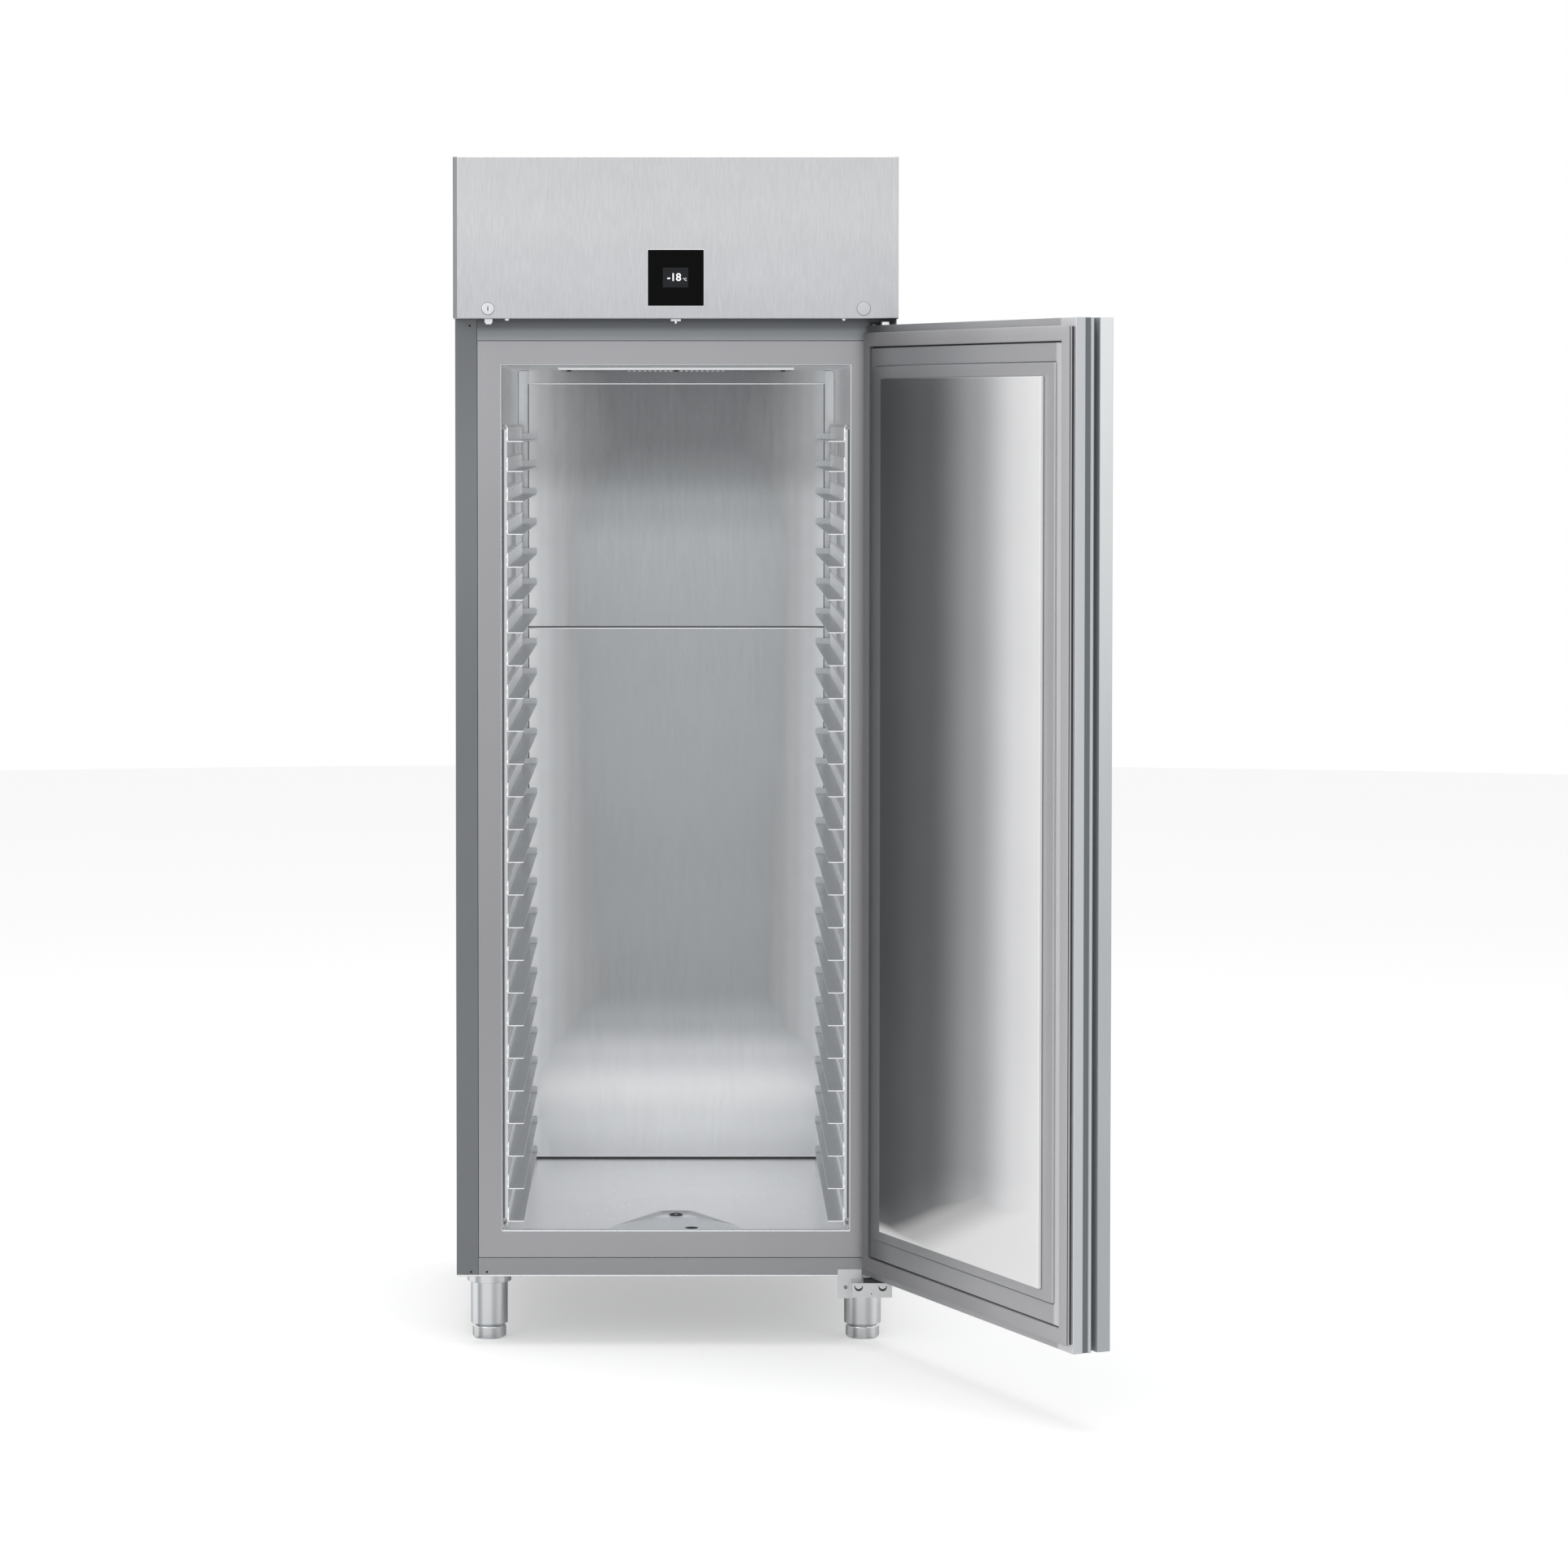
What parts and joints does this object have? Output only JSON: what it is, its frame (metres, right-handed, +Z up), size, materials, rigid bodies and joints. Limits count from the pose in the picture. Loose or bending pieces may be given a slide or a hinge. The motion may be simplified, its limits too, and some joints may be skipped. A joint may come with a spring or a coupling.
{
  "type": "bakery freezer",
  "caption": "Upright stainless bakery freezer with a right-hinged insulated door standing open, racks of tray rails, a machine head with a touch display, and adjustable feet",
  "frame": {"origin": "on the floor under the middle of the cabinet and head footprint", "axes": "+X to the right seen from the front, +Y to the back, +Z up; the front faces -Y"},
  "size_m": [1.1129, 1.6499, 2.1365],
  "materials": {
    "front_steel": "stainless sheet, vertical brushing, satin",
    "casing_steel": "stainless sheet, fine brushing, darker grey in shade",
    "frame_steel": "stainless sheet, fine satin",
    "liner_steel": "smooth stainless sheet, 2B mill finish",
    "panel_steel": "bright annealed stainless sheet, soft mirror",
    "rail_steel": "folded stainless sheet, smooth satin",
    "foot_steel": "turned and polished stainless tube",
    "hinge_steel": "cast stainless block, fine blasted",
    "bright_steel": "bright plated steel",
    "dark_bracket": "dark grey powder coat, matt",
    "cap_plastic": "light grey plastic, satin",
    "dark_plastic": "dark grey moulded plastic",
    "spout_plastic": "grey moulded plastic",
    "screw_dark": "blackened steel",
    "grip_grey": "grey extruded plastic, satin",
    "gasket_grey": "soft grey magnetic gasket, dull",
    "stopper_rubber": "black rubber",
    "display_black": "glossy black touch glass",
    "insulation": "rigid closed-cell foam",
    "compressor_black": "black paint, semi-gloss",
    "coil_aluminium": "bare aluminium",
    "shroud_steel": "galvanised sheet",
    "copper": "drawn copper, slightly dull"
  },
  "bodies": {
    "cabinet": {"casing_left": "casing_steel", "casing_right": "casing_steel", "casing_back": "casing_steel", "casing_bottom": "casing_steel", "casing_top": "casing_steel", "cabinet_foam": "insulation", "inner_liner": "liner_steel", "front_frame": "frame_steel", "drain_spout": "spout_plastic", "drain_strainer": "dark_plastic", "drain_stopper": "stopper_rubber", "duct_panel_upper": "liner_steel", "duct_panel_lower": "liner_steel", "ceiling_cover": "liner_steel", "panel_screws": "screw_dark", "rack_left": "rail_steel", "rack_right": "rail_steel", "rails_left": "rail_steel", "rails_right": "rail_steel", "legs": "foot_steel", "hinge_bracket_low": "hinge_steel", "hinge_bracket_top": "dark_bracket", "hinge_screws": "bright_steel", "hinge_pins": "bright_steel", "hinge_cam": "dark_plastic", "machine_base": "casing_steel", "head_cover": "casing_steel", "head_back": "casing_steel", "fascia": "front_steel", "display_housing": "dark_plastic", "display_glass": "display_black", "lock_housing": "bright_steel", "lock_cap": "cap_plastic", "door_contact": "bright_steel", "compressor": "compressor_black", "compressor_mounts": "stopper_rubber", "condenser": "copper", "condenser_shroud": "shroud_steel", "fan_motors": "coil_aluminium", "cold_box": "insulation", "evaporator": "coil_aluminium", "refrigerant_pipes": "copper", "filter_dryer": "copper", "control_box": "dark_plastic", "mains_inlet": "dark_plastic"},
    "door": {"door_skin": "front_steel", "door_foam": "insulation", "door_liner": "frame_steel", "door_panel": "panel_steel", "door_gasket": "gasket_grey", "grip_profile": "grip_grey", "door_caps": "dark_plastic"},
    "lock_plug": {"lock_cylinder": "bright_steel"},
    "bolt": {"lock_bolt": "bright_steel"},
    "condenser_fan_wheel": {"condenser_fan": "dark_plastic"},
    "evaporator_fan_wheel": {"evaporator_fan": "dark_plastic"},
    "foot_fl": {"foot_front_left": "foot_steel"},
    "foot_fr": {"foot_front_right": "foot_steel"},
    "foot_bl": {"foot_back_left": "foot_steel"},
    "foot_br": {"foot_back_right": "foot_steel"}
  },
  "joints": [
    {"name": "door_hinge", "type": "hinge", "parent": "cabinet", "child": "door", "pos_m": [0.3725, -0.446, 0.9865], "axis": [0, 0, 1], "range_deg": [-113.5, 0]},
    {"name": "lock_turn", "type": "hinge", "parent": "cabinet", "child": "lock_plug", "pos_m": [-0.333, -0.49, 1.8675], "axis": [0, 1, 0], "range_deg": [0, 90]},
    {"name": "bolt_slide", "type": "slide", "parent": "cabinet", "child": "bolt", "axis": [0, 0, -1], "range_m": [0, 0.011]},
    {"name": "condenser_fan_spin", "type": "hinge", "parent": "cabinet", "child": "condenser_fan_wheel", "pos_m": [0.19, -0.262, 1.975], "axis": [0, 1, 0], "continuous": true},
    {"name": "evaporator_fan_spin", "type": "hinge", "parent": "cabinet", "child": "evaporator_fan_wheel", "pos_m": [0, 0.155, 1.864], "axis": [0, 0, 1], "continuous": true},
    {"name": "foot_fl_screw", "type": "slide", "parent": "cabinet", "child": "foot_fl", "axis": [0, 0, -1], "range_m": [0, 0.03]},
    {"name": "foot_fr_screw", "type": "slide", "parent": "cabinet", "child": "foot_fr", "axis": [0, 0, -1], "range_m": [0, 0.03]},
    {"name": "foot_bl_screw", "type": "slide", "parent": "cabinet", "child": "foot_bl", "axis": [0, 0, -1], "range_m": [0, 0.03]},
    {"name": "foot_br_screw", "type": "slide", "parent": "cabinet", "child": "foot_br", "axis": [0, 0, -1], "range_m": [0, 0.03]}
  ],
  "couplings": [
    {"joint": "lock_turn", "follows": "bolt_slide", "rad_per_m": 142.8}
  ]
}
